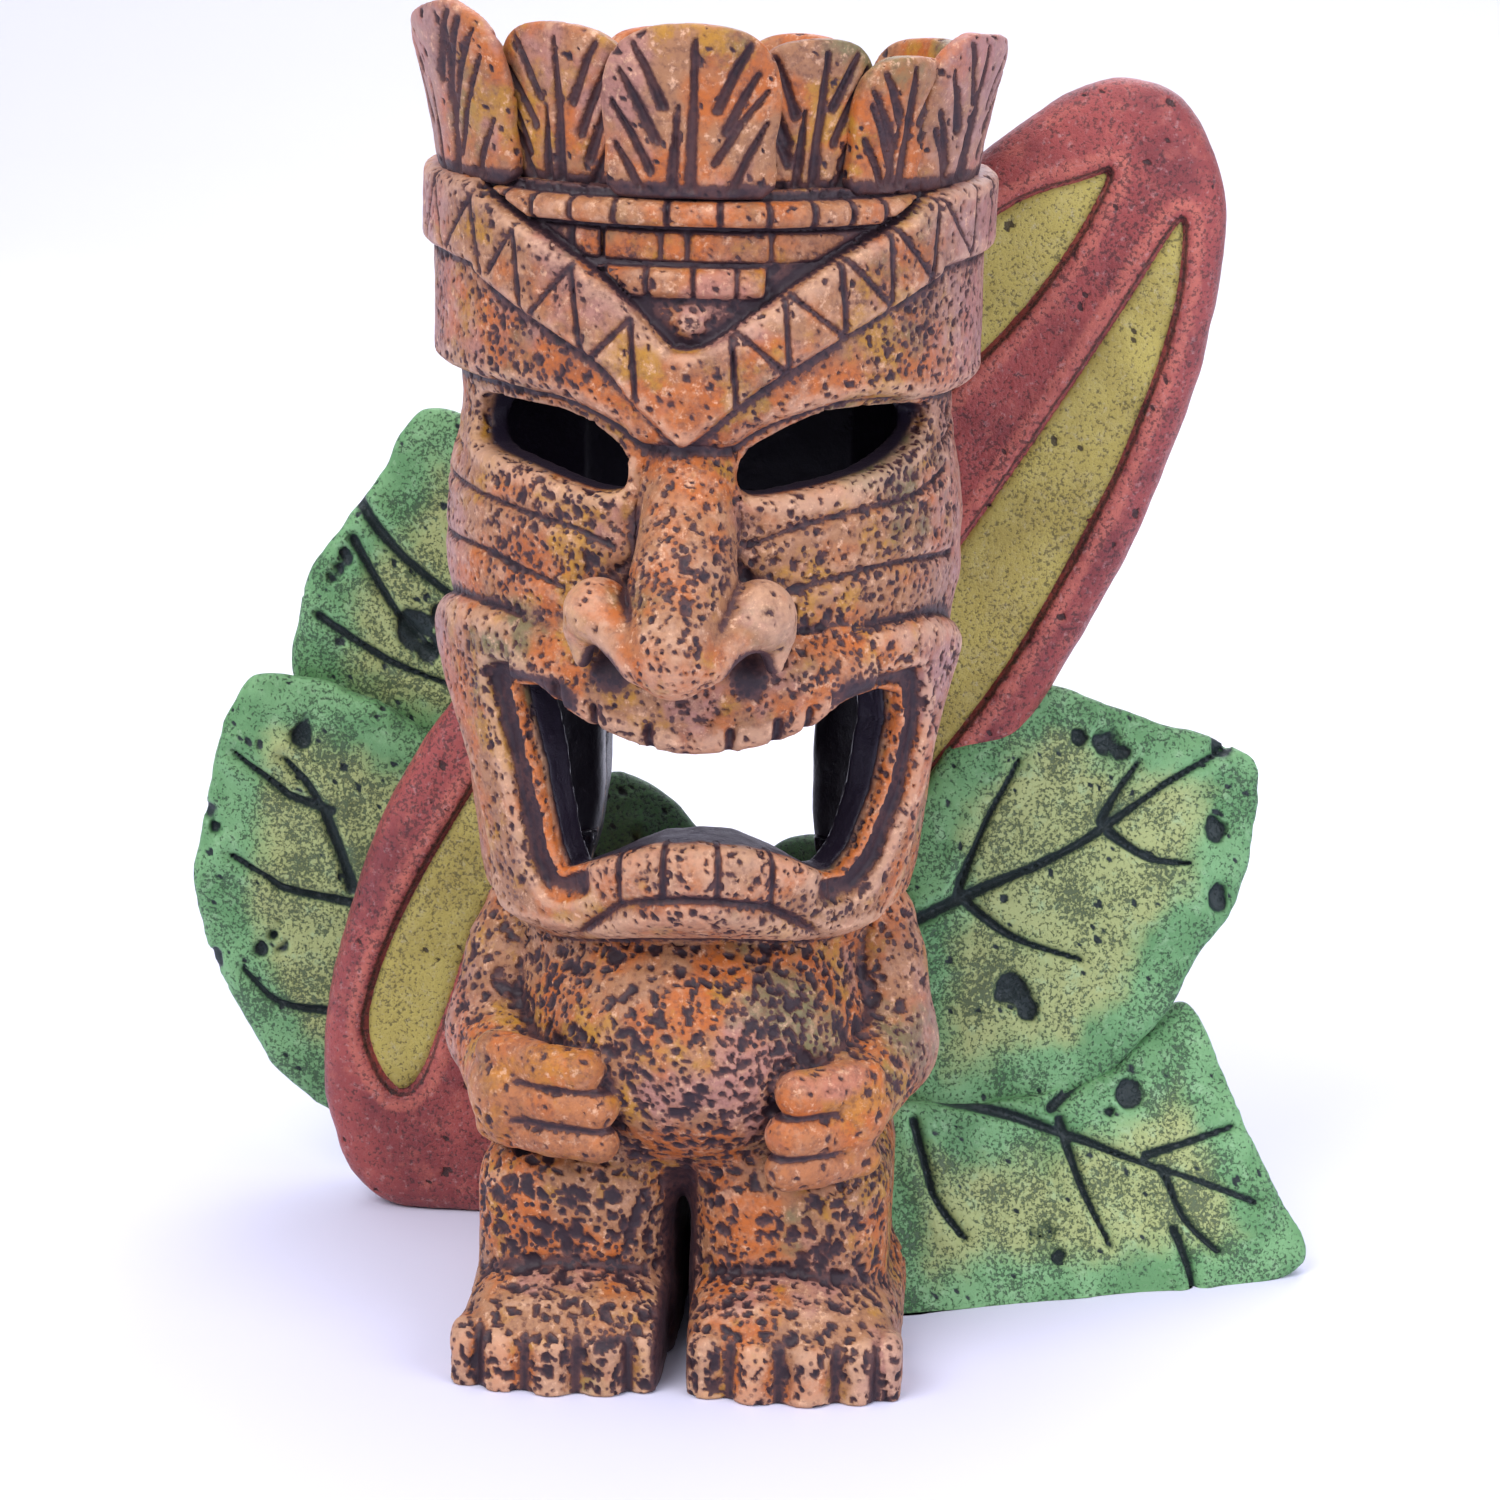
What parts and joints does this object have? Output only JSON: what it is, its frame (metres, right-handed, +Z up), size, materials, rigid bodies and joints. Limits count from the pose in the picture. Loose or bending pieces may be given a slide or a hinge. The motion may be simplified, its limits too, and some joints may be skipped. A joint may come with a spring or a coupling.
{
  "type": "tiki figure ornament",
  "caption": "Cast tiki ornament: hollow log figure with eyes and a swim-through mouth, leaf crown, a leaning surfboard behind it and broad leaves at the sides.",
  "frame": {"origin": "middle of the bounding box in plan, on the floor the ornament stands on", "axes": "+Z up, the face looks along -Y, +X to the right of someone facing the face"},
  "size_m": [0.1452, 0.0956, 0.1606],
  "materials": {
    "log_paint": "hand painted, pitted, dark wash in the hollows",
    "board_paint": "matt red, fine pitted",
    "stripe_paint": "matt olive yellow, fine pitted",
    "leaf_paint": "matt green with dark veins"
  },
  "bodies": {
    "root": {"head_jaw": "log_paint", "head_eye_ring": "log_paint", "head_cap": "log_paint", "brow_left": "log_paint", "brow_right": "log_paint", "headband": "log_paint", "forehead_row_upper": "log_paint", "forehead_row_middle": "log_paint", "forehead_row_lower": "log_paint", "nose": "log_paint", "mouth_frame": "log_paint", "upper_teeth": "log_paint", "lower_teeth": "log_paint", "lower_lip": "log_paint", "torso": "log_paint", "arm_left": "log_paint", "arm_right": "log_paint", "leg_left": "log_paint", "leg_right": "log_paint", "surfboard": "board_paint", "surfboard_stripe_left": "stripe_paint", "surfboard_stripe_right": "stripe_paint", "leaf_left_upper": "leaf_paint", "leaf_left_lower": "leaf_paint", "leaf_right_upper": "leaf_paint", "leaf_right_lower": "leaf_paint", "leaf_back_left": "leaf_paint", "leaf_back_right": "leaf_paint", "crown_leaf_01": "log_paint", "crown_leaf_02": "log_paint", "crown_leaf_03": "log_paint", "crown_leaf_04": "log_paint", "crown_leaf_05": "log_paint", "crown_leaf_06": "log_paint", "crown_leaf_07": "log_paint", "crown_leaf_08": "log_paint", "crown_leaf_09": "log_paint", "crown_leaf_10": "log_paint", "crown_leaf_11": "log_paint", "crown_leaf_12": "log_paint"}
  },
  "joints": []
}
